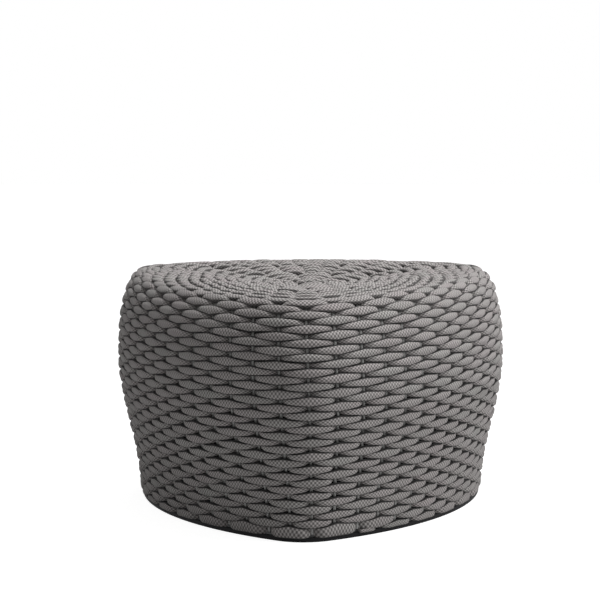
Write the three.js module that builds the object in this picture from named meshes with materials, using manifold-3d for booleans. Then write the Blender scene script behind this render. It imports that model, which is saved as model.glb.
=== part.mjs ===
// Woven rope footstool with a rounded three-cornered plan, a bulging side and a dished seat.
// Millimetres, +Z up, resting on z = 0, front corner towards -Y.
import * as THREE from 'three';
import { mergeVertices } from 'three/addons/utils/BufferGeometryUtils.js';
import Module from 'manifold-3d';

const wasm = await Module();
wasm.setup();

// Body
const bodyWidth = 616;
const bodyHeight = 361;
const sideCount = 3;
const cornerRadius = 92;
const cornerSpanDegrees = 67;
const baseInset = 35;
const bulgeHeight = 228;
const crestInset = 48;
const baseScaledShare = 0.5;
const shoulderScaledShare = 1;
const shoulderPower = 0.8;
const dishDepth = 14;
const eyeStretch = 30;
const profileSteps = 240;

// Fits
const seatGap = 0.4;
const faceGap = 0.3;

// Weave
const ropeLayer = 6.6;
const reliefDepth = 3.6;
const coursePitch = 10.5;
const bottomTuck = 2.4;
const seatCourses = 24;
const lowerSeatLevels = 6;

// Rods
const rodCount = 45;
const rodLean = 13;
const firstRodShare = 0.28;
const rodDiameter = 4.4;
const rodSides = 6;
const sideRodSteps = 5;
const shoulderRodSteps = 5;
const seatRodStepShare = 0.18;
const rodHoopOverlapShare = 0.03;
const seamRod = 22;

// Rings of the frame
const rimTubeDiameter = 10;
const rimDrop = 58;
const hoopDiameter = 6;
const outerHoopShare = 0.7;
const middleHoopShare = 0.38;
const eyeHoopShare = 0.14;
const tubeSides = 8;
const baseRingWidth = 24;
const baseRingThickness = 3;

// Base board
const boardThickness = 6.5;
const boardSetback = 3;
const boardPoints = 132;
const drainDiameter = 14;
const drainCount = 6;
const drainReachShare = 0.48;
const drainFacets = 12;

// Screws
const screwCount = 6;
const screwShankDiameter = 4.8;
const screwHeadDiameter = 9.6;
const screwHeadHeight = 2.6;
const screwRecess = 0.6;
const screwSocketDiameter = 4;
const screwSocketDepth = 1.4;
const screwClearance = 0.35;
const screwFacets = 12;
const cutterOverrun = 1;

// Derived sizes
const frontAngle = -Math.PI / 2;
const sectorAngle = 2 * Math.PI / sideCount;
const halfCorner = THREE.MathUtils.degToRad(cornerSpanDegrees) / 2;
const cornerReach = (bodyWidth / 2 - cornerRadius) / Math.sin(sectorAngle / 2);
const sideExtra = cornerReach / (Math.cos(halfCorner) - Math.sin(halfCorner) / Math.tan(sectorAngle / 2));
const sideRadius = cornerRadius + sideExtra;
const sideReach = sideExtra * Math.sin(halfCorner) / Math.sin(sectorAngle / 2);
const centreShift = (cornerReach + cornerRadius - sideRadius + sideReach) / 2;
const rimHeight = bodyHeight - rimDrop;
const rodRadius = rodDiameter / 2;
const rodDepth = ropeLayer + seatGap + rodRadius;
const weaveFoot = boardThickness + faceGap;
const baseRingTop = weaveFoot + baseRingThickness;
const rodFoot = baseRingTop + faceGap;
const baseRingSetback = ropeLayer + seatGap;
const cornerHeading = Math.atan2(
  cornerRadius * Math.sin(halfCorner),
  cornerReach + cornerRadius * Math.cos(halfCorner),
);

const rope = new THREE.MeshStandardMaterial({ color: 0x6d6967, roughness: 0.9, metalness: 0 });
const rodCoat = new THREE.MeshStandardMaterial({ color: 0x8d8c8a, roughness: 0.55, metalness: 0.2 });
const frameCoat = new THREE.MeshStandardMaterial({ color: 0x3a3b3d, roughness: 0.5, metalness: 0.3 });
const boardPlastic = new THREE.MeshStandardMaterial({ color: 0x101011, roughness: 0.7, metalness: 0 });
const steel = new THREE.MeshStandardMaterial({ color: 0xa9abad, roughness: 0.35, metalness: 1 });

const part = new THREE.Group();

function addPiece(name, geometry, material) {
  const mesh = new THREE.Mesh(geometry, material.clone());
  mesh.name = name;
  part.add(mesh);
}

// Plan outline: three corner arcs joined by three flatter side arcs. A heading is a share of a turn
// round the plan's middle, from the front corner; it meets the outline where the outline faces
// along the normal angle.
function normalAngle(headingShare) {
  const heading = frontAngle + 2 * Math.PI * headingShare;
  const sector = Math.round((heading - frontAngle) / sectorAngle);
  const off = heading - frontAngle - sector * sectorAngle;
  if (Math.abs(off) <= cornerHeading) {
    return heading + Math.asin(cornerReach / cornerRadius * Math.sin(off));
  }
  const sideOff = off - Math.sign(off) * sectorAngle / 2;
  return heading - Math.asin(sideReach / sideRadius * Math.sin(sideOff));
}

function polar(angle, reach) {
  return new THREE.Vector2(Math.cos(angle) * reach, Math.sin(angle) * reach);
}

function outlinePoint(angle) {
  const sector = Math.round((angle - frontAngle) / sectorAngle);
  const cornerAxis = frontAngle + sector * sectorAngle;
  const off = angle - cornerAxis;
  const onCorner = Math.abs(off) <= halfCorner;
  const sideAxis = cornerAxis + Math.sign(off) * sectorAngle / 2;
  const centre = onCorner ? polar(cornerAxis, cornerReach) : polar(sideAxis, -sideReach);
  return centre.add(polar(angle, onCorner ? cornerRadius : sideRadius));
}

// A point of the plan at some height: scaledShare of the draw-in there scales the outline about
// its middle, and the rest of it, with the depth below the surface, runs square to the outline.
function planPoint(angle, inset, scaledShare, depth) {
  const scale = 1 - scaledShare * inset / (bodyWidth / 2);
  const plan = outlinePoint(angle).multiplyScalar(scale);
  return plan.sub(polar(angle, (1 - scaledShare) * inset + depth));
}

function baseOutlinePoint(angle, setback) {
  const plan = planPoint(angle, baseInset, baseScaledShare, setback);
  plan.y += centreShift;
  return plan;
}

// Side profile, from the board up over the bulge and the shoulder to the crest.
function profileCurve() {
  const points = [];
  for (let i = 0; i < profileSteps; i += 1) {
    const height = weaveFoot + (bulgeHeight - weaveFoot) * i / profileSteps;
    const inset = baseInset * (1 + Math.cos(Math.PI * height / bulgeHeight)) / 2;
    points.push(new THREE.Vector2(inset, height));
  }
  for (let i = 0; i <= profileSteps; i += 1) {
    const turn = Math.PI / 2 * i / profileSteps;
    const height = bulgeHeight + (bodyHeight - bulgeHeight) * Math.sin(turn);
    const inset = crestInset * (1 - Math.max(Math.cos(turn), 0) ** shoulderPower);
    points.push(new THREE.Vector2(inset, height));
  }
  const distances = [0];
  for (let i = 1; i < points.length; i += 1) {
    distances.push(distances[i - 1] + points[i].distanceTo(points[i - 1]));
  }
  return { points, distances, length: distances[distances.length - 1] };
}

const profile = profileCurve();

function profileAt(distance) {
  const last = profile.points.length - 1;
  let i = profile.distances.findIndex((value) => value > distance);
  i = i < 0 ? last : Math.max(i, 1);
  const from = profile.points[i - 1];
  const to = profile.points[i];
  const span = profile.distances[i] - profile.distances[i - 1];
  const share = Math.min((distance - profile.distances[i - 1]) / span, 1);
  const point = from.clone().lerp(to, share);
  const outward = (to.y - from.y) / span;
  const upward = (to.x - from.x) / span;
  const scaledShare = point.y < bulgeHeight ? baseScaledShare : shoulderScaledShare;
  return { inset: point.x, height: point.y, scaledShare, outward, upward };
}

function distanceAtHeight(height) {
  const i = profile.points.findIndex((point) => point.y >= height);
  return profile.distances[i];
}

// A point of the body: distance runs up the side profile, depth goes in from the rope's outer face.
function sidePoint(angle, distance, depth) {
  const station = profileAt(distance);
  const plan = planPoint(angle, station.inset, station.scaledShare, depth * station.outward);
  return new THREE.Vector3(plan.x, plan.y + centreShift, station.height - depth * station.upward);
}

// A point of the seat: share is 1 at the crest and 0 on the eye, a slit along X.
function seatPoint(angle, share, depth) {
  const plan = planPoint(angle, crestInset, shoulderScaledShare, 0).multiplyScalar(share);
  const dip = dishDepth * (1 + Math.cos(Math.PI * share)) / 2;
  plan.x += eyeStretch * (1 - share) ** 2 * Math.cos(angle);
  return new THREE.Vector3(plan.x, plan.y + centreShift, bodyHeight - dip - depth);
}

// Distances at which the rods, and the rope's inner face that lies on them, bend.
function rodStations() {
  const foot = distanceAtHeight(rodFoot);
  const rim = distanceAtHeight(rimHeight);
  const stations = [];
  for (let i = 0; i < sideRodSteps; i += 1) {
    stations.push(foot + (rim - foot) * i / sideRodSteps);
  }
  for (let i = 0; i <= shoulderRodSteps; i += 1) {
    stations.push(rim + (profile.length - rim) * i / shoulderRodSteps);
  }
  return stations;
}

function solidFrom(positions, indices) {
  const geometry = new THREE.BufferGeometry();
  const flat = positions.flatMap((point) => [point.x, point.y, point.z]);
  let volume = 0;
  for (let i = 0; i < indices.length; i += 3) {
    const [a, b, c] = [positions[indices[i]], positions[indices[i + 1]], positions[indices[i + 2]]];
    volume += a.dot(b.clone().cross(c));
  }
  const ordered = volume < 0 ? indices.slice().reverse() : indices;
  geometry.setAttribute('position', new THREE.Float32BufferAttribute(flat, 3));
  geometry.setIndex(ordered);
  geometry.computeVertexNormals();
  return geometry;
}

// Joins closed sections, one after another and the last to the first, into one ring.
// Each four-cornered patch is folded along the diagonal that alternates like a plain weave.
function ringSolid(sections) {
  const size = sections[0].length;
  const positions = sections.flat();
  const indices = [];
  for (let i = 0; i < sections.length; i += 1) {
    const next = (i + 1) % sections.length;
    for (let k = 0; k < size; k += 1) {
      const up = (k + 1) % size;
      const corners = [i * size + k, next * size + k, next * size + up, i * size + up];
      const [a, b, c, d] = corners;
      if ((i + k) % 2 === 0) {
        indices.push(a, b, d, b, c, d);
      } else {
        indices.push(a, b, c, a, c, d);
      }
    }
  }
  return solidFrom(positions, indices);
}

// Each rod leans along the outline, to its right at the foot and to its left at the crest.
function rodAngle(index, height) {
  const lean = rodLean * (1 / 2 - height / bodyHeight);
  return normalAngle((index + firstRodShare) / rodCount + lean / (Math.PI * bodyWidth));
}

function rodSidePoint(index, distance, depth) {
  return sidePoint(rodAngle(index, profileAt(distance).height), distance, depth);
}

function rodSeatPoint(index, share, depth) {
  return seatPoint(rodAngle(index, bodyHeight), share, depth);
}

// Rope side: bumps stand where the rope passes in front of a rod, hollows where it passes behind.
function wovenSide() {
  const courses = Math.round(profile.length / coursePitch);
  const sections = [];
  for (let i = 0; i < rodCount; i += 1) {
    const section = [rodSidePoint(i, 0, bottomTuck)];
    for (let course = 0; course < courses; course += 1) {
      const depth = (i + course) % 2 === 0 ? 0 : reliefDepth;
      section.push(rodSidePoint(i, profile.length * (course + 1 / 2) / courses, depth));
    }
    section.push(rodSidePoint(i, profile.length, bottomTuck));
    const inner = [0, ...rodStations()].map((distance) => rodSidePoint(i, distance, ropeLayer));
    sections.push([...section, ...inner.reverse()]);
  }
  return ringSolid(sections);
}

// The rods that carry the seat at a share of its reach. Outside the outer hoop that is all of them,
// outside the middle hoop every second one and inside it every fourth one, counted from the seam.
function rodsAt(share) {
  const stride = 2 ** [outerHoopShare, middleHoopShare].filter((hoopShare) => share < hoopShare).length;
  return Array.from({ length: rodCount }, (_, index) => index).filter((index) => {
    const rank = (index + rodCount - seamRod) % rodCount;
    return rank % stride === 0 && rank + stride / 2 <= rodCount;
  });
}

// Rope seat: rings of bumps and hollows that stand on the rods.
function seatRings(levels, outerShare, depthAt) {
  return Array.from({ length: levels }, (_, level) => {
    const share = outerShare * (1 - level / levels);
    const rods = rodsAt(share);
    const points = rods.map((rod, i) => rodSeatPoint(rod, share, depthAt(level, i)));
    return { rods, points };
  });
}

// Faces from a ring to the next one in, which stands on all of its rods or on some of them.
function stitchRings(outer, inner) {
  const count = outer.rods.length;
  return inner.rods.flatMap((rod, i) => {
    const next = (i + 1) % inner.rods.length;
    const from = outer.rods.indexOf(rod);
    const to = outer.rods.indexOf(inner.rods[next]);
    const steps = (to - from + count) % count;
    const turn = Math.ceil(steps / 2);
    const faces = Array.from({ length: steps }, (_, step) => [
      outer.start + (from + step) % count,
      outer.start + (from + step + 1) % count,
      inner.start + (step < turn ? i : next),
    ]);
    faces.push([outer.start + (from + turn) % count, inner.start + next, inner.start + i]);
    return faces;
  });
}

function wovenSeat() {
  const outerShare = 1 - faceGap / (cornerReach + cornerRadius - crestInset);
  const bump = (level, i) => (level + i) % 2 * reliefDepth;
  const upper = seatRings(seatCourses, outerShare, (level, i) => (level > 0 ? bump(level, i) : bottomTuck));
  const lower = seatRings(lowerSeatLevels, outerShare, () => ropeLayer);
  const positions = [];
  [...upper, ...lower].forEach((ring) => {
    ring.start = positions.length;
    positions.push(...ring.points);
  });
  const upperFaces = upper.slice(1).flatMap((ring, i) => stitchRings(upper[i], ring));
  const lowerFaces = lower.slice(1).flatMap((ring, i) => stitchRings(lower[i], ring));
  lowerFaces.push(...stitchRings(upper[0], lower[0]));
  const close = (ring, depth, faces) => {
    const centre = positions.push(seatPoint(frontAngle, 0, depth)) - 1;
    ring.rods.forEach((_, i) => {
      faces.push([ring.start + i, ring.start + (i + 1) % ring.rods.length, centre]);
    });
  };
  close(upper[upper.length - 1], 0, upperFaces);
  close(lower[lower.length - 1], ropeLayer, lowerFaces);
  const flipped = lowerFaces.map(([a, b, c]) => [a, c, b]);
  return solidFrom(positions, [...upperFaces, ...flipped].flat());
}

// A round bar along points, with flat ends. The side vector lies across the bar's plane,
// and the section has corners at right angles to it, where the bar meets what it touches.
function bar(points, side, diameter, sides) {
  const positions = [];
  points.forEach((point, i) => {
    const from = points[Math.max(i - 1, 0)];
    const to = points[Math.min(i + 1, points.length - 1)];
    const along = to.clone().sub(from).normalize();
    const across = side.clone().addScaledVector(along, -side.dot(along)).normalize();
    const out = across.clone().cross(along);
    for (let k = 0; k < sides; k += 1) {
      const around = polar(2 * Math.PI * (k + 1 / 2) / sides, diameter / 2);
      positions.push(point.clone().addScaledVector(across, around.x).addScaledVector(out, around.y));
    }
  });
  const indices = [];
  for (let i = 0; i + 1 < points.length; i += 1) {
    for (let k = 0; k < sides; k += 1) {
      const next = (k + 1) % sides;
      const [a, b, c, d] = [i * sides + k, i * sides + next, (i + 1) * sides + next, (i + 1) * sides + k];
      indices.push(a, b, c, a, c, d);
    }
  }
  const last = (points.length - 1) * sides;
  for (let k = 1; k + 1 < sides; k += 1) {
    indices.push(0, k + 1, k, last, last + k, last + k + 1);
  }
  return solidFrom(positions, indices);
}

// One bent rod: up the side behind the rope, over the shoulder and in under the seat.
function bentRod(index) {
  const hoops = [eyeHoopShare, middleHoopShare, outerHoopShare];
  const endShare = hoops.find((share) => rodsAt(share).includes(index)) - rodHoopOverlapShare;
  const steps = Math.round((1 - endShare) / seatRodStepShare);
  const points = rodStations().map((distance) => rodSidePoint(index, distance, rodDepth));
  for (let i = 1; i <= steps; i += 1) {
    points.push(rodSeatPoint(index, 1 - (1 - endShare) * i / steps, rodDepth));
  }
  const angle = rodAngle(index, bodyHeight);
  const side = new THREE.Vector3(-Math.sin(angle), Math.cos(angle), 0);
  return bar(points, side, rodDiameter, rodSides);
}

// A closed hoop with a round section, through one centre point for each of its rods.
function hoop(rods, centreAt, height, diameter) {
  const sections = rods.map((rod) => {
    const angle = rodAngle(rod, height);
    const centre = centreAt(rod);
    const section = [];
    for (let k = 0; k < tubeSides; k += 1) {
      const around = polar(2 * Math.PI * k / tubeSides, diameter / 2);
      const out = polar(angle, around.x);
      section.push(new THREE.Vector3(centre.x + out.x, centre.y + out.y, centre.z + around.y));
    }
    return section;
  });
  return ringSolid(sections);
}

function rimTube() {
  const depth = rodDepth + rodRadius + seatGap + rimTubeDiameter / 2;
  const distance = distanceAtHeight(rimHeight);
  return hoop(rodsAt(1), (rod) => rodSidePoint(rod, distance, depth), rimHeight, rimTubeDiameter);
}

function seatHoop(share) {
  const depth = rodDepth + rodRadius + seatGap + hoopDiameter / 2;
  return hoop(rodsAt(share), (rod) => rodSeatPoint(rod, share, depth), bodyHeight, hoopDiameter);
}

function toManifold(geometry) {
  const bare = geometry.clone();
  bare.deleteAttribute('normal');
  bare.deleteAttribute('uv');
  const merged = mergeVertices(bare);
  const vertProperties = new Float32Array(merged.attributes.position.array);
  const triVerts = new Uint32Array(merged.index.array);
  return new wasm.Manifold(new wasm.Mesh({ numProp: 3, vertProperties, triVerts }));
}

function fromManifold(solid) {
  const mesh = solid.getMesh();
  const geometry = new THREE.BufferGeometry();
  geometry.setAttribute('position', new THREE.Float32BufferAttribute(mesh.vertProperties, 3));
  geometry.setIndex(Array.from(mesh.triVerts));
  geometry.computeVertexNormals();
  return geometry;
}

function uprightCylinder(diameter, low, high, at, facets) {
  const geometry = new THREE.CylinderGeometry(diameter / 2, diameter / 2, high - low, facets);
  geometry.rotateX(Math.PI / 2);
  geometry.translate(at.x, at.y, (low + high) / 2);
  return geometry;
}

function screwPlaces() {
  const setback = baseRingSetback + baseRingWidth / 2;
  return Array.from({ length: screwCount }, (_, i) => (
    baseOutlinePoint(normalAngle((i + 1 / 2) / screwCount), setback)
  ));
}

function baseBoard() {
  const shape = new THREE.Shape();
  for (let i = 0; i < boardPoints; i += 1) {
    const at = baseOutlinePoint(normalAngle(i / boardPoints), boardSetback);
    if (i === 0) {
      shape.moveTo(at.x, at.y);
    } else {
      shape.lineTo(at.x, at.y);
    }
  }
  shape.closePath();
  let board = toManifold(new THREE.ExtrudeGeometry(shape, { depth: boardThickness, bevelEnabled: false }));
  const low = -cutterOverrun;
  const high = boardThickness + cutterOverrun;
  for (let i = 0; i < drainCount; i += 1) {
    const at = outlinePoint(normalAngle(i / drainCount)).multiplyScalar(drainReachShare);
    at.y += centreShift;
    board = board.subtract(toManifold(uprightCylinder(drainDiameter, low, high, at, drainFacets)));
  }
  const headPocket = screwHeadHeight + screwRecess + faceGap;
  screwPlaces().forEach((at) => {
    const shankHole = screwShankDiameter + 2 * screwClearance;
    const headHole = screwHeadDiameter + 2 * screwClearance;
    board = board.subtract(toManifold(uprightCylinder(shankHole, low, high, at, screwFacets)));
    board = board.subtract(toManifold(uprightCylinder(headHole, low, headPocket, at, screwFacets)));
  });
  return fromManifold(board);
}

function baseRing() {
  const sections = [];
  for (let i = 0; i < rodCount; i += 1) {
    const angle = rodAngle(i, rodFoot);
    const outer = baseOutlinePoint(angle, baseRingSetback);
    const inner = baseOutlinePoint(angle, baseRingSetback + baseRingWidth);
    sections.push([
      new THREE.Vector3(outer.x, outer.y, weaveFoot),
      new THREE.Vector3(outer.x, outer.y, baseRingTop),
      new THREE.Vector3(inner.x, inner.y, baseRingTop),
      new THREE.Vector3(inner.x, inner.y, weaveFoot),
    ]);
  }
  let ring = toManifold(ringSolid(sections));
  screwPlaces().forEach((at) => {
    const hole = screwShankDiameter + 2 * screwClearance;
    const low = weaveFoot - cutterOverrun;
    const high = baseRingTop + cutterOverrun;
    ring = ring.subtract(toManifold(uprightCylinder(hole, low, high, at, screwFacets)));
  });
  return fromManifold(ring);
}

function screw(at) {
  const headTop = screwRecess + screwHeadHeight;
  const outline = [
    [0, screwRecess + screwSocketDepth],
    [screwSocketDiameter / 2, screwRecess + screwSocketDepth],
    [screwSocketDiameter / 2, screwRecess],
    [screwHeadDiameter / 2, screwRecess],
    [screwHeadDiameter / 2, headTop],
    [screwShankDiameter / 2, headTop],
    [screwShankDiameter / 2, baseRingTop],
    [0, baseRingTop],
  ].map(([x, y]) => new THREE.Vector2(x, y));
  const geometry = new THREE.LatheGeometry(outline, screwFacets);
  geometry.rotateX(Math.PI / 2);
  geometry.translate(at.x, at.y, 0);
  return geometry;
}

addPiece('base_board', baseBoard(), boardPlastic);
addPiece('base_ring', baseRing(), frameCoat);
addPiece('rim_tube', rimTube(), frameCoat);
addPiece('seat_outer_hoop', seatHoop(outerHoopShare), frameCoat);
addPiece('seat_middle_hoop', seatHoop(middleHoopShare), frameCoat);
addPiece('seat_eye_hoop', seatHoop(eyeHoopShare), frameCoat);
addPiece('woven_side', wovenSide(), rope);
addPiece('woven_seat', wovenSeat(), rope);
for (let i = 0; i < rodCount; i += 1) {
  addPiece(`rod_${String(i + 1).padStart(2, '0')}`, bentRod(i), rodCoat);
}
screwPlaces().forEach((at, i) => addPiece(`board_screw_${i + 1}`, screw(at), steel));

export default part;
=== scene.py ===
import math

import bmesh
import bpy
import numpy as np
from mathutils import Matrix, Vector


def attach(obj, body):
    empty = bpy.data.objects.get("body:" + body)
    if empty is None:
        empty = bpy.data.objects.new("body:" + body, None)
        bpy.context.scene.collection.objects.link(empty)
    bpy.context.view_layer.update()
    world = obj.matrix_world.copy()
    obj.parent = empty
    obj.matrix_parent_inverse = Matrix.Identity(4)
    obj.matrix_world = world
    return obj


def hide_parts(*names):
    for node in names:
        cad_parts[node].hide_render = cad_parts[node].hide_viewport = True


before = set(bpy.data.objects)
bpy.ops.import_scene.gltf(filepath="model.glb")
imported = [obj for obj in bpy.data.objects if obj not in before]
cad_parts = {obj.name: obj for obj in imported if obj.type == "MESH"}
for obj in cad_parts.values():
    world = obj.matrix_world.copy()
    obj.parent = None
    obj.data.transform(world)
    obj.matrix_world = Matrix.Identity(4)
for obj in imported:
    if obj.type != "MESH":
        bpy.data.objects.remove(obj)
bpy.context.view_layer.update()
print("stage: frame loaded")

# The faces that the front floats of the rope lie on. An inset is measured from the widest outline.
body = {
    "width": 0.616,
    "height": 0.361,
    "sides": 3,
    "cornerRadius": 0.092,
    "cornerSpan": math.radians(67),  # how far each corner's arc turns
    "foot": 0.0068,  # height of the board's top, where the rope starts
    "baseInset": 0.035,  # how far the foot stands inside the bulge
    "bulgeHeight": 0.228,
    "crestInset": 0.048,  # how far the crest, where the seat starts, stands inside the bulge
    "shoulderPower": 0.8,  # at 1 the shoulder is an ellipse, below 1 it is fuller
    "baseScaledShare": 0.5,  # the share of the base's inset that shrinks the plan, the rest moves it in
    "dishDepth": 0.014,
    "eyeStretch": 0.030,  # how far the courses' end in the seat is drawn out each way
    "profileSteps": 240,
}


# Plan outline: three corner arcs joined by three flatter side arcs.
def makePlan():
    frontAngle = -math.pi / 2
    sectorAngle = 2 * math.pi / body["sides"]
    halfCorner = body["cornerSpan"] / 2
    cornerReach = (body["width"] / 2 - body["cornerRadius"]) / math.sin(sectorAngle / 2)
    lean = math.sin(halfCorner) / math.tan(sectorAngle / 2)
    sideExtra = cornerReach / (math.cos(halfCorner) - lean)
    sideRadius = body["cornerRadius"] + sideExtra
    sideReach = sideExtra * math.sin(halfCorner) / math.sin(sectorAngle / 2)
    cornerWidth = body["cornerRadius"] * math.sin(halfCorner)
    cornerDepth = cornerReach + body["cornerRadius"] * math.cos(halfCorner)
    return {
        "frontAngle": frontAngle,
        "sectorAngle": sectorAngle,
        "halfCorner": halfCorner,
        "cornerReach": cornerReach,
        "sideRadius": sideRadius,
        "sideReach": sideReach,
        "centreShift": (cornerReach + body["cornerRadius"] - sideRadius + sideReach) / 2,
        "cornerHeading": math.atan2(cornerWidth, cornerDepth),
    }


plan = makePlan()


# The outline's outward direction where a heading from the middle, as a share of a turn, meets it.
def normalAngles(headingShare):
    heading = plan["frontAngle"] + 2 * np.pi * headingShare
    sector = np.round((heading - plan["frontAngle"]) / plan["sectorAngle"])
    off = heading - plan["frontAngle"] - sector * plan["sectorAngle"]
    sideOff = off - np.sign(off) * plan["sectorAngle"] / 2
    cornerTurn = np.clip(plan["cornerReach"] / body["cornerRadius"] * np.sin(off), -1, 1)
    sideTurn = plan["sideReach"] / plan["sideRadius"] * np.sin(sideOff)
    onCorner = np.abs(off) <= plan["cornerHeading"]
    return heading + np.where(onCorner, np.arcsin(cornerTurn), -np.arcsin(sideTurn))


def directions(angle):
    return np.stack([np.cos(angle), np.sin(angle)], axis=-1)


# Points of the widest outline, by their outward direction.
def outlinePoints(angle):
    sector = np.round((angle - plan["frontAngle"]) / plan["sectorAngle"])
    cornerAxis = plan["frontAngle"] + sector * plan["sectorAngle"]
    off = angle - cornerAxis
    onCorner = (np.abs(off) <= plan["halfCorner"])[..., None]
    sideAxis = cornerAxis + np.sign(off) * plan["sectorAngle"] / 2
    corner = directions(cornerAxis) * plan["cornerReach"] + directions(angle) * body["cornerRadius"]
    side = directions(angle) * plan["sideRadius"] - directions(sideAxis) * plan["sideReach"]
    return np.where(onCorner, corner, side)


# Side profile: inset and height against the distance travelled up from the board to the crest.
def makeProfile():
    steps = body["profileSteps"]
    lower = np.linspace(body["foot"], body["bulgeHeight"], steps, endpoint=False)
    lowerInset = body["baseInset"] * (1 + np.cos(np.pi * lower / body["bulgeHeight"])) / 2
    turn = np.linspace(0, np.pi / 2, steps + 1)
    upper = body["bulgeHeight"] + (body["height"] - body["bulgeHeight"]) * np.sin(turn)
    upperInset = body["crestInset"] * (1 - np.maximum(np.cos(turn), 0) ** body["shoulderPower"])
    height = np.concatenate([lower, upper])
    inset = np.concatenate([lowerInset, upperInset])
    span = np.hypot(np.diff(inset), np.diff(height))
    travel = np.concatenate([[0], np.cumsum(span)])
    return {
        "travel": travel,
        "inset": inset,
        "height": height,
        "middle": (travel[1:] + travel[:-1]) / 2,
        "outward": np.diff(height) / span,
        "upward": np.diff(inset) / span,
        "length": travel[-1],
    }


profile = makeProfile()

# How the strands climb and pass the rods. All three climb together, each course in front of one rod
# and behind the next.
weave = {
    "rods": 45,
    "strands": 3,
    "pitch": 0.0106,  # from one course to the next
    "firstCourse": 0.0067,  # height of the first full course's middle above the board
    "seatCourses": 24,  # from the crest to the middle of the seat
    "seamRod": 22,  # the rods are counted from this one, at the back
    "firstRodShare": 0.28,  # how far rod 0 stands past the front corner, in rod spacings
    "rodLean": 0.013,  # how far a rod leans along the plan from foot to crest
    "rodDepth": 0.0092,  # from the rope's outer face to the rods' middle
    "outerHoopShare": 0.70,  # half of the rods end at this share of the seat, measured from the eye
    "middleHoopShare": 0.38,  # and half of the rest at this one
    "startRod": -4.4,  # where the first strand starts to climb, the others follow at even spacing
    "tailRods": 9,  # how many rods a strand's squeezed tail passes before that
    "tailHeight": 0.0020,  # height of the tail's middle above the board at its thin end
    "overhang": 0.0022,  # how far the lowest course hangs over the board's edge
    "lowestFade": 0.15,  # courses that a strand takes to rise off the board
    "endShare": 0.011,  # the share of the seat, at the eye, that stays open
    "sideSway": 0.0057,  # how far the rope's middle swings out and in at the rods
    "crestSway": 0.0030,
    "seatSway": 0.0078,
    "swayStart": 0.020,  # above the side, the sway grows from the crest's to the seat's
    "swayEnd": 0.070,  # between these distances below and past the crest
    "sideDive": 3.0,  # above 1 the rope stays in front for longer and dives behind a rod more steeply
    "seatDive": 1.3,
    "seatLift": 0.0015,  # how far the rope's mean plane rises above the rods' on the seat
    "shoulderStart": 0.015,  # the side's weave turns into the seat's
    "shoulderEnd": 0.030,  # between these distances below and past the crest
    "paleStart": 0.065,  # the rope's painted shade lines fade
    "paleEnd": 0.010,  # between these distances below the crest
}

seatSpan = weave["seatCourses"] * weave["pitch"]


# What is left of the way to the eye: 1 at the crest and on the side, 0 at the middle of the seat.
def seatShares(travel):
    return 1 - np.maximum(travel - profile["length"], 0) / seatSpan


def rodAngles(rod, height):
    lean = weave["rodLean"] * (1 / 2 - height / body["height"])
    return normalAngles((rod + weave["firstRodShare"]) / weave["rods"] + lean / (np.pi * body["width"]))


# Places at a depth below the rope's outer face, with the face's outward and upward directions.
# rod counts rods round the plan, and travel runs up the side and then in over the seat.
def bodyPoints(rod, travel, depth):
    height = np.interp(travel, profile["travel"], profile["height"])
    inset = np.interp(travel, profile["travel"], profile["inset"])
    outward = np.interp(travel, profile["middle"], profile["outward"])
    upward = np.interp(travel, profile["middle"], profile["upward"])
    share = seatShares(travel)
    onSeat = travel > profile["length"]
    # the dish: how deep it lies below the crest and how steeply it falls
    dip = body["dishDepth"] * (1 + np.cos(np.pi * share)) / 2
    slope = body["dishDepth"] * np.pi * np.sin(np.pi * share) / 2 / seatSpan
    angle = rodAngles(rod, height)
    facing = directions(angle)
    # an inset shrinks the plan, below the bulge only in part
    scaled = np.where(height < body["bulgeHeight"], body["baseScaledShare"], 1)
    scale = (1 - scaled * inset / (body["width"] / 2)) * share
    ground = outlinePoints(angle) * scale[:, None] - facing * ((1 - scaled) * inset)[:, None]
    ground[:, 0] += body["eyeStretch"] * (1 - share) ** 2 * facing[:, 0]
    ground[:, 1] += plan["centreShift"]
    height = height - np.where(onSeat, dip, 0)
    outward = np.where(onSeat, -slope, outward)
    upward = np.where(onSeat, 1, upward)
    length = np.hypot(outward, upward)
    outward, upward = outward / length, upward / length
    out = np.column_stack([facing * outward[:, None], upward])
    up = np.column_stack([-facing * upward[:, None], outward])
    points = np.column_stack([ground, height]) - out * depth[:, None]
    return points, out, up


# The rods that reach a ring, numbered in turn: all on the side, then every second and every fourth.
def rodsAt(share):
    stride = 2 ** sum(share < hoop for hoop in (weave["outerHoopShare"], weave["middleHoopShare"]))
    count = weave["rods"]
    ranks = [rank for rank in range(count) if rank % stride == 0 and rank + stride / 2 <= count]
    return {(rank + weave["seamRod"]) % count: place for place, rank in enumerate(ranks)}


# The rods that one strand passes, in turn: rod number, course number and side, 1 in front, -1 behind.
def strandCrossings(strand):
    perTurn = weave["rods"] / weave["strands"]
    start = weave["startRod"] + perTurn * strand
    crossings = []
    rod = math.ceil(start - weave["tailRods"])
    while True:
        course = (rod - start) / perTurn
        travel = weave["firstCourse"] + weave["pitch"] * course
        share = float(seatShares(travel))
        if share < weave["endShare"]:
            return crossings
        places = rodsAt(share)
        number = rod % weave["rods"]
        if number in places:
            turn = (rod - weave["seamRod"]) // weave["rods"]
            count = places[number] + turn * len(places) + strand
            crossings.append((rod, course, 1 if count % 2 else -1))
        rod += 1


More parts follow.
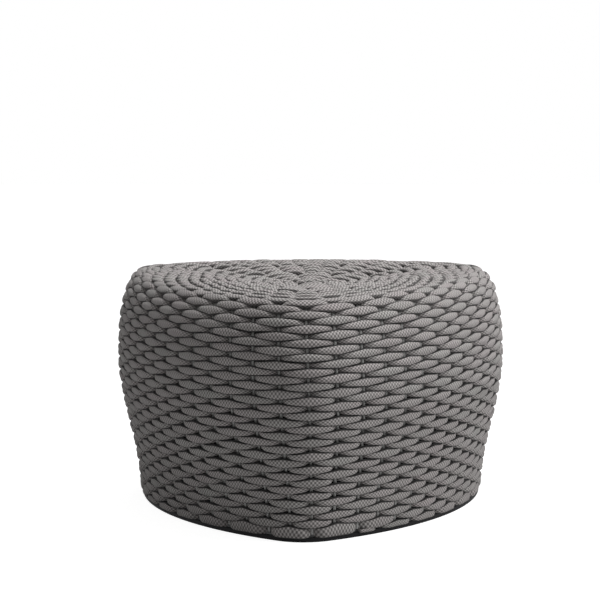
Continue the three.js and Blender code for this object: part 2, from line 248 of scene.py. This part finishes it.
# The rope's section, which is flat and wide in front of a rod and pressed small behind it.
rope = {
    "frontHalfThickness": 0.0048,
    "crossHalfThickness": 0.0050,  # cross is between two rods
    "backHalfThickness": 0.0042,
    "frontHalfHeight": 0.0080,
    "crossHalfHeight": 0.0053,
    "backHalfHeight": 0.0042,
    "lowestFilling": 0.5,  # how far the lowest course keeps its full height between and behind the rods
    "seatFilling": 0.0030,  # how much the half height grows behind the rods of the seat
    "squareness": 0.88,  # at 1 the section is an ellipse, below 1 it is squarer
    "sides": 12,
    "sampleLength": 0.0030,
    "samplesAtLeast": 6,  # from one rod to the next
    "sunkRange": [0.82, 0.94],  # painted shade: where the rope darkens on its way behind a rod, at 1
    "seatSunkCut": 0.75,  # how much of that painted shade the seat loses
    "seatCreaseCut": 0.30,  # and how much of the painted shade lines between the courses
    "hiddenSwing": -0.99,  # a swing below this is a rope that is right behind its rod
    "courseJitter": 0.0004,  # random spread from rod to rod
    "swayJitter": 0.0005,
    "girthJitter": 0.035,
    "toneSpread": 1.0,
    "seed": 7,
}


def ease(value, low, high):
    share = np.clip((value - low) / (high - low), 0, 1)
    return share * share * (3 - 2 * share)


# A section size that goes from the size behind a rod over the one between rods to the one in front.
def sectionSize(place, size):
    sizes = [rope[name + size] for name in ("back", "cross", "front")]
    return np.interp(place, [-1, 0, 1], sizes)


# What holds where a strand passes its rods. squeeze is the half height that its neighbours leave it.
def crossingValues(crossings, rng):
    rods, courses, fronts = np.array(crossings, float).T
    count = len(rods)
    crest = profile["length"]
    tailTurn = weave["tailRods"] * weave["strands"] / weave["rods"]
    tail = np.clip(1 + courses / tailTurn, 0, 1)
    squeeze = weave["tailHeight"] + (weave["firstCourse"] - weave["tailHeight"]) * tail
    climb = weave["pitch"] * np.maximum(courses, 0)
    travel = squeeze + climb + rng.normal(0, rope["courseJitter"], count) * tail
    # the lowest course reaches down over the board's edge, with its top where it was
    lowest = 1 - ease(courses, 1 - tailTurn, 1 + weave["lowestFade"] - tailTurn)
    stretch = (weave["overhang"] + climb) * lowest / 2
    travel = travel - stretch
    swayPlaces = [crest - weave["swayStart"], crest + weave["swayEnd"]]
    sway = np.interp(travel, swayPlaces, [weave["crestSway"], weave["seatSway"]])
    sway = np.where(travel < crest - weave["shoulderStart"], weave["sideSway"], sway)
    return {
        "rod": rods,
        "front": fronts,
        "travel": travel,
        "lowest": lowest,
        "squeeze": squeeze + stretch,
        "seated": ease(travel, crest - weave["shoulderStart"], crest + weave["shoulderEnd"]),
        # how far the rope's painted shade has faded
        "pale": ease(travel, crest - weave["paleStart"], crest - weave["paleEnd"]),
        "sway": sway + rng.normal(0, rope["swayJitter"], count),
        "girth": 1 + rng.normal(0, rope["girthJitter"], count),
        "tone": rng.normal(0, rope["toneSpread"], count),
        "hue": rng.normal(0, rope["toneSpread"], count),
    }


# The strand's middle line, sampled, with its section's sizes and directions and its paint.
def strandPath(crossings, rng):
    knots = crossingValues(crossings, rng)
    count = len(crossings)
    anchors = bodyPoints(knots["rod"], knots["travel"], np.full(count, weave["rodDepth"]))[0]
    gaps = np.linalg.norm(np.diff(anchors, axis=0), axis=1)
    steps = np.maximum(rope["samplesAtLeast"], np.round(gaps / rope["sampleLength"])).astype(int)
    position = np.concatenate([i + np.arange(n) / n for i, n in enumerate(steps)] + [[count - 1]])
    index = np.arange(count)
    here = {name: np.interp(position, index, values) for name, values in knots.items()}
    # girth and paint hold at a rod and change between two
    eased = np.floor(position) + (1 - np.cos(np.pi * (position % 1))) / 2
    for name in ("girth", "tone", "hue"):
        here[name] = np.interp(eased, index, knots[name])
    # 0 in front of a rod, 1 behind it
    behind = (1 - here["front"]) / 2
    dive = weave["sideDive"] + (weave["seatDive"] - weave["sideDive"]) * here["seated"]
    swing = np.cos(np.pi * behind ** dive)
    depth = weave["rodDepth"] - weave["seatLift"] * here["seated"] - here["sway"] * swing
    halfHeight = sectionSize(here["front"], "HalfHeight") + rope["seatFilling"] * here["seated"] * behind
    halfHeight += rope["lowestFilling"] * here["lowest"] * (rope["frontHalfHeight"] - halfHeight)
    halfHeight *= here["squeeze"] / weave["firstCourse"] * here["girth"]
    # the lowest course keeps its lower edge level along the board
    travel = here["travel"] + here["lowest"] * (halfHeight - here["squeeze"])
    points, out, up = bodyPoints(here["rod"], travel, depth)
    return {
        "points": points,
        "out": out,
        "up": up,
        "position": position,
        "travel": travel,
        "swing": swing,
        "halfHeight": halfHeight,
        "halfThickness": sectionSize(here["front"], "HalfThickness"),
        "tone": here["tone"],
        "hue": here["hue"],
        # painted shade behind the rods and in the lines between the courses, less of it from near the
        # crest on
        "sunkShade": ease(behind, *rope["sunkRange"]) * (1 - rope["seatSunkCut"] * here["pale"]),
        "creased": 1 - rope["seatCreaseCut"] * here["pale"],
    }


def cutPath(path, keep):
    return {name: values[keep] for name, values in path.items()}


# The section's points at every sample, square to the path, ring after ring.
def ropeRings(path):
    along = np.gradient(path["points"], axis=0)
    along /= np.linalg.norm(along, axis=1)[:, None]
    out = path["out"] - along * np.sum(path["out"] * along, axis=1)[:, None]
    out /= np.linalg.norm(out, axis=1)[:, None]
    up = np.cross(along, out)
    up *= np.sign(np.sum(up * path["up"], axis=1))[:, None]
    turn = np.arange(rope["sides"]) * 2 * np.pi / rope["sides"]
    across, rise = np.cos(turn), np.sin(turn)
    across = np.sign(across) * np.abs(across) ** rope["squareness"]
    rise = np.sign(rise) * np.abs(rise) ** rope["squareness"]
    ringOut = out[:, None, :] * (across[None, :, None] * path["halfThickness"][:, None, None])
    ringUp = up[:, None, :] * (rise[None, :, None] * path["halfHeight"][:, None, None])
    return (path["points"][:, None, :] + ringOut + ringUp).reshape(-1, 3)


# Length round a plain section, which the braid is laid out by.
def ropeGirth():
    return np.pi * (rope["crossHalfThickness"] + rope["crossHalfHeight"])


# Quads from ring to ring and a cap at each end. No operator sweeps a section that swells and turns
# with the weave, so the rings are joined here.
def tubeFaces(rings):
    sides = rope["sides"]
    ring = np.arange(rings - 1)[:, None]
    side = np.arange(sides)[None, :]
    nextSide = (side + 1) % sides
    corners = [(ring + 1) * sides + side, (ring + 1) * sides + nextSide]
    corners += [ring * sides + nextSide, ring * sides + side]
    quads = np.stack(np.broadcast_arrays(*corners), axis=-1).reshape(-1, 4)
    firstCap = list(range(sides))
    lastCap = [(rings - 1) * sides + i for i in reversed(range(sides))]
    return quads.tolist() + [firstCap, lastCap]


# Metres along the rope and round it, at the corners of every quad in turn.
def quadUv(points):
    ring = np.arange(len(points) - 1)[:, None]
    side = np.arange(rope["sides"])[None, :]
    run = np.cumsum(np.linalg.norm(np.diff(points, axis=0, prepend=points[:1]), axis=1))
    wound = np.arange(rope["sides"] + 1) * ropeGirth() / rope["sides"]
    u = np.broadcast_arrays(run[ring + 1], run[ring + 1], run[ring], run[ring], side)[:4]
    v = np.broadcast_arrays(wound[side], wound[side + 1], wound[side + 1], wound[side], ring)[:4]
    return np.stack([np.stack(u, axis=-1).ravel(), np.stack(v, axis=-1).ravel()], axis=-1)


# A closed tube along a path, with the braid's UV and its paint by point.
def ropeMesh(name, path):
    mesh = bpy.data.meshes.new(name)
    mesh.from_pydata(ropeRings(path).tolist(), [], tubeFaces(len(path["points"])))
    braided = quadUv(path["points"])
    uv = np.zeros((len(mesh.loops), 2))
    uv[: len(braided)] = braided
    mesh.uv_layers.new(name="rope").data.foreach_set("uv", uv.ravel())
    # tone and hue are the rope's own colour; the other two carry painted shade behind the rods and
    # between the courses
    for key in ("tone", "hue", "sunkShade", "creased"):
        values = np.repeat(path[key], rope["sides"]).astype(np.float32)
        mesh.attributes.new(key, "FLOAT", "POINT").data.foreach_set("value", values)
    mesh.shade_smooth()
    mesh.update()
    piece = bpy.data.objects.new(name, mesh)
    bpy.context.collection.objects.link(piece)
    return piece


# Each strand is one rope, cut behind the first rod past the crest into a side and a seat piece.
def weaveRopes():
    pieces = []
    for strand in range(weave["strands"]):
        rng = np.random.default_rng(rope["seed"] + strand)
        path = strandPath(strandCrossings(strand), rng)
        hidden = (path["position"] % 1 == 0) & (path["swing"] < rope["hiddenSwing"])
        cut = np.nonzero(hidden & (path["travel"] > profile["length"]))[0][0]
        index = np.arange(len(path["points"]))
        side = ropeMesh(f"side_rope_{strand + 1}", cutPath(path, index <= cut))
        seat = ropeMesh(f"seat_rope_{strand + 1}", cutPath(path, index >= cut))
        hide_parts("woven_side")
        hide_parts("woven_seat")
        pieces += [side, seat]
    return pieces


# Node helpers. A value is a number or colour, or the socket that it comes from.
def newMaterial(name):
    material = bpy.data.materials.new(name)
    material.use_nodes = True
    tree = material.node_tree
    return material, tree, tree.nodes["Principled BSDF"]


def feed(tree, sockets, values):
    for socket, value in zip(sockets, values):
        if isinstance(value, bpy.types.NodeSocket):
            tree.links.new(value, socket)
        else:
            socket.default_value = value


def mathNode(tree, operation, *values, clamp=False):
    node = tree.nodes.new("ShaderNodeMath")
    node.operation = operation
    node.use_clamp = clamp
    feed(tree, node.inputs, values)
    return node.outputs[0]


def noiseNode(tree, scale, detail):
    place = tree.nodes.new("ShaderNodeTexCoord").outputs["Object"]
    node = tree.nodes.new("ShaderNodeTexNoise")
    feed(tree, [node.inputs[name] for name in ("Vector", "Scale", "Detail")], (place, scale, detail))
    return node.outputs["Fac"]


def mixColour(tree, factor, first, second):
    node = tree.nodes.new("ShaderNodeMix")
    node.data_type = "RGBA"
    feed(tree, (node.inputs[0], node.inputs[6], node.inputs[7]), (factor, first, second))
    return node.outputs[2]


def bumpNode(tree, height, distance, strength):
    node = tree.nodes.new("ShaderNodeBump")
    sockets = [node.inputs[name] for name in ("Height", "Distance", "Strength")]
    feed(tree, sockets, (height, distance, strength))
    return node.outputs["Normal"]


# Rises smoothly from 0 at low to most at high.
def rangeNode(tree, value, low, high, most):
    node = tree.nodes.new("ShaderNodeMapRange")
    node.interpolation_type = "SMOOTHSTEP"
    feed(tree, node.inputs[:5], (value, low, high, 0, most))
    return node.outputs["Result"]


def attributeNode(tree, name):
    node = tree.nodes.new("ShaderNodeAttribute")
    node.attribute_name = name
    return node.outputs["Fac"]


# Braided rope: fine diamond braid that runs with the rope, warm grey with slight shifts by float.
def ropeMaterial():
    look = {
        "colour": (0.505, 0.478, 0.471, 1),
        "green": (0.478, 0.494, 0.460, 1),  # a float leans to the green or the pink
        "pink": (0.552, 0.472, 0.481, 1),
        "leaning": 0.45,
        "hueStep": 0.22,
        "toneStep": 0.035,
        "valleyShade": (0.150, 0.141, 0.138, 1),  # painted shade between the yarns
        "creaseShade": (0.012, 0.011, 0.011, 1),  # painted shade where courses meet and behind the rods
        "creaseRange": (0.67, 0.88),  # how far up the rope's flank the painted shade starts and is full
        "creaseMost": 0.98,
        "sunkMost": 0.9,
        "braidTurns": 7,  # yarns round the rope
        "braidSlant": 0.80,
        "braidRange": (0.15, 0.95),  # from the painted shade between the yarns to the yarn's colour
        "braidDepth": 0.0011,
        "braidStrength": 0.65,
        "fuzzScale": 2600,  # loose fibres, in the bump only
        "fuzzShare": 0.35,
        "patchScale": 24,  # broad paler and darker patches
        "patchSpread": 0.30,
        "patchLow": 0.85,
        "noiseDetail": 2,
        "roughness": 0.82,
        "sheen": 0.12,
        "sheenRoughness": 0.5,
        "specular": 0.08,
    }
    material, tree, shader = newMaterial("ropeBraid")
    uvMap = tree.nodes.new("ShaderNodeUVMap")
    uvMap.uv_map = "rope"
    axes = tree.nodes.new("ShaderNodeSeparateXYZ")
    tree.links.new(uvMap.outputs["UV"], axes.inputs[0])
    run, wound = axes.outputs[0], axes.outputs[1]
    # the braid: two waves that cross, 1 on a yarn and 0 between the yarns
    girthTurn = 2 * np.pi / ropeGirth()
    yarnTurn = girthTurn * look["braidTurns"]
    first = mathNode(tree, "SINE", mathNode(tree, "MULTIPLY", run, yarnTurn * look["braidSlant"]))
    second = mathNode(tree, "SINE", mathNode(tree, "MULTIPLY", wound, yarnTurn))
    braid = mathNode(tree, "MULTIPLY_ADD", mathNode(tree, "MULTIPLY", first, second), 0.5, 0.5)

    # the rope's own colour and brightness, a little different from float to float
    hue = mathNode(tree, "MULTIPLY_ADD", attributeNode(tree, "hue"), look["hueStep"], 0.5, clamp=True)
    leaned = mixColour(tree, hue, look["green"], look["pink"])
    base = mixColour(tree, look["leaning"], look["colour"], leaned)
    patches = noiseNode(tree, look["patchScale"], look["noiseDetail"])
    bright = mathNode(tree, "MULTIPLY_ADD", patches, look["patchSpread"], look["patchLow"])
    tone = mathNode(tree, "MULTIPLY", attributeNode(tree, "tone"), look["toneStep"])
    scaled = tree.nodes.new("ShaderNodeVectorMath")
    scaled.operation = "SCALE"
    brightness = mathNode(tree, "ADD", bright, tone)
    feed(tree, (scaled.inputs[0], scaled.inputs["Scale"]), (base, brightness))
    # the braid paints shade between the yarns
    weight = rangeNode(tree, braid, *look["braidRange"], 1)
    woven = mixColour(tree, weight, look["valleyShade"], scaled.outputs[0])

    # painted shade runs along the rope's upper and lower flank, where the courses meet, and lies behind
    # the rods
    flank = mathNode(tree, "SINE", mathNode(tree, "MULTIPLY", wound, girthTurn))
    creaseShade = rangeNode(tree, mathNode(tree, "ABSOLUTE", flank), *look["creaseRange"], look["creaseMost"])
    creaseShade = mathNode(tree, "MULTIPLY", creaseShade, attributeNode(tree, "creased"))
    sunkShade = mathNode(tree, "MULTIPLY", attributeNode(tree, "sunkShade"), look["sunkMost"])
    dark = mathNode(tree, "MAXIMUM", creaseShade, sunkShade)
    tree.links.new(mixColour(tree, dark, woven, look["creaseShade"]), shader.inputs["Base Color"])

    fuzz = noiseNode(tree, look["fuzzScale"], look["noiseDetail"])
    height = mathNode(tree, "MULTIPLY_ADD", fuzz, look["fuzzShare"], braid)
    normal = bumpNode(tree, height, look["braidDepth"], look["braidStrength"])
    tree.links.new(normal, shader.inputs["Normal"])
    shader.inputs["Roughness"].default_value = look["roughness"]
    shader.inputs["Sheen Weight"].default_value = look["sheen"]
    shader.inputs["Sheen Roughness"].default_value = look["sheenRoughness"]
    shader.inputs["Specular IOR Level"].default_value = look["specular"]
    return material


# Hard finishes: mottled between two colours, with a fine grain.
finishes = {
    "rodCoat": {  # pale powder coat, rubbed in patches
        "colours": ((0.34, 0.34, 0.33, 1), (0.46, 0.46, 0.45, 1)),
        "mottle": (60, 4),  # scale and detail
        "grain": (1800, 2),
        "grainDepth": 0.0001,
        "grainStrength": 0.4,
        "roughness": 0.5,
    },
    "frameCoat": {  # dark powder coat of the ring, the rim and the hoops
        "colours": ((0.035, 0.036, 0.038, 1), (0.06, 0.06, 0.062, 1)),
        "mottle": (60, 4),
        "grain": (1800, 2),
        "grainDepth": 0.0001,
        "grainStrength": 0.4,
        "roughness": 0.5,
    },
    "boardPlastic": {  # matt black, lightly scuffed
        "colours": ((0.008, 0.008, 0.009, 1), (0.020, 0.020, 0.021, 1)),
        "mottle": (35, 6),
        "grain": (900, 3),
        "grainDepth": 0.00006,
        "grainStrength": 0.3,
        "roughness": 0.75,
        "specular": 0.12,
    },
    "screwSteel": {
        "colours": ((0.42, 0.42, 0.43, 1), (0.60, 0.60, 0.61, 1)),
        "mottle": (2500, 3),
        "grain": (2500, 3),
        "grainDepth": 0.00005,
        "grainStrength": 0.5,
        "roughness": 0.35,
        "metallic": 1,
    },
}


def finishMaterial(name):
    finish = finishes[name]
    material, tree, shader = newMaterial(name)
    mottle = noiseNode(tree, *finish["mottle"])
    grain = noiseNode(tree, *finish["grain"])
    normal = bumpNode(tree, grain, finish["grainDepth"], finish["grainStrength"])
    tree.links.new(mixColour(tree, mottle, *finish["colours"]), shader.inputs["Base Color"])
    tree.links.new(normal, shader.inputs["Normal"])
    shader.inputs["Roughness"].default_value = finish["roughness"]
    if "metallic" in finish:
        shader.inputs["Metallic"].default_value = finish["metallic"]
    if "specular" in finish:
        shader.inputs["Specular IOR Level"].default_value = finish["specular"]
    return material


def dressNodes():
    materials = {name: finishMaterial(name) for name in finishes}
    for name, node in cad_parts.items():
        finish = "frameCoat"
        if name.startswith("rod_"):
            finish = "rodCoat"
        elif name.startswith("board_screw"):
            finish = "screwSteel"
        elif name == "base_board":
            finish = "boardPlastic"
        for slot in node.material_slots:
            slot.material = materials[finish]


# 1 for the camera's rays and the mirrored and refracted ones, 0 for those that light the object.
def clearRays(tree):
    seen = tree.nodes.new("ShaderNodeLightPath")
    mirrored = mathNode(tree, "MAXIMUM", seen.outputs["Is Camera Ray"], seen.outputs["Is Glossy Ray"])
    return mathNode(tree, "MAXIMUM", mirrored, seen.outputs["Is Transmission Ray"])


# Floor and backdrop: white to the camera, and the floor keeps the object's soft shadow.
def makeFloor():
    look = {"size": 12.0, "colour": (0.50, 0.50, 0.50, 1), "glow": 0.88, "roughness": 0.9}
    mesh = bpy.data.meshes.new("floor")
    sheet = bmesh.new()
    bmesh.ops.create_grid(sheet, x_segments=1, y_segments=1, size=look["size"] / 2)
    sheet.to_mesh(mesh)
    sheet.free()
    floor = bpy.data.objects.new("floor", mesh)
    bpy.context.collection.objects.link(floor)
    material, tree, shader = newMaterial("floorPaper")
    shader.inputs["Base Color"].default_value = look["colour"]
    shader.inputs["Roughness"].default_value = look["roughness"]
    shader.inputs["Emission Color"].default_value = (1, 1, 1, 1)
    glow = mathNode(tree, "MULTIPLY", clearRays(tree), look["glow"])
    tree.links.new(glow, shader.inputs["Emission Strength"])
    # seen from below, the floor is clear and leaves the board in sight
    clear = tree.nodes.new("ShaderNodeBsdfTransparent")
    faces = tree.nodes.new("ShaderNodeMixShader")
    back = tree.nodes.new("ShaderNodeNewGeometry").outputs["Backfacing"]
    feed(tree, faces.inputs, (back, shader.outputs[0], clear.outputs[0]))
    tree.links.new(faces.outputs[0], tree.nodes["Material Output"].inputs["Surface"])
    mesh.materials.append(material)


def makeWorld():
    ambient = 0.28
    world = bpy.data.worlds.new("studio")
    bpy.context.scene.world = world
    world.use_nodes = True
    tree = world.node_tree
    background = tree.nodes["Background"]
    background.inputs["Color"].default_value = (1, 1, 1, 1)
    bright = mathNode(tree, "MULTIPLY_ADD", clearRays(tree), 1 - ambient, ambient)
    tree.links.new(bright, background.inputs["Strength"])


lamps = {
    "topLamp": {"place": (0.5, -0.1, 2.7), "size": 0.5, "power": 43},
    "rightLamp": {"place": (2.6, -0.6, 1.5), "size": 0.6, "power": 37},
}
lampTarget = Vector((0, 0, 0.2))


def makeLamps():
    for name, lamp in lamps.items():
        data = bpy.data.lights.new(name, "AREA")
        data.shape = "DISK"
        data.size = lamp["size"]
        data.energy = lamp["power"]
        light = bpy.data.objects.new(name, data)
        light.location = lamp["place"]
        aim = lampTarget - Vector(lamp["place"])
        light.rotation_euler = aim.to_track_quat("-Z", "Y").to_euler()
        bpy.context.collection.objects.link(light)


def makeCamera():
    look = {
        "place": (0.1280, -4.4336, 0.8765),
        "azimuth": math.radians(1.8),
        "pitch": math.radians(7.07),
        "roll": math.radians(0.23),
        "lens": 173.4,
        "sensor": 36,
    }
    data = bpy.data.cameras.new("camera")
    data.lens = look["lens"]
    data.sensor_width = look["sensor"]
    camera = bpy.data.objects.new("camera", data)
    turn = Matrix.Rotation(look["azimuth"], 4, "Z")
    tilt = Matrix.Rotation(math.pi / 2 - look["pitch"], 4, "X")
    roll = Matrix.Rotation(-look["roll"], 4, "Z")
    camera.matrix_world = Matrix.Translation(look["place"]) @ turn @ tilt @ roll
    bpy.context.collection.objects.link(camera)
    bpy.context.scene.camera = camera


makeCamera()
makeFloor()
makeWorld()
makeLamps()
print("stage: studio made")

ropeLook = ropeMaterial()
for piece in weaveRopes():
    piece.data.materials.append(ropeLook)
    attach(piece, "root")
print("stage: rope woven")

dressNodes()
print("stage: frame, board and screws finished")

bpy.context.scene.view_settings.view_transform = "Standard"
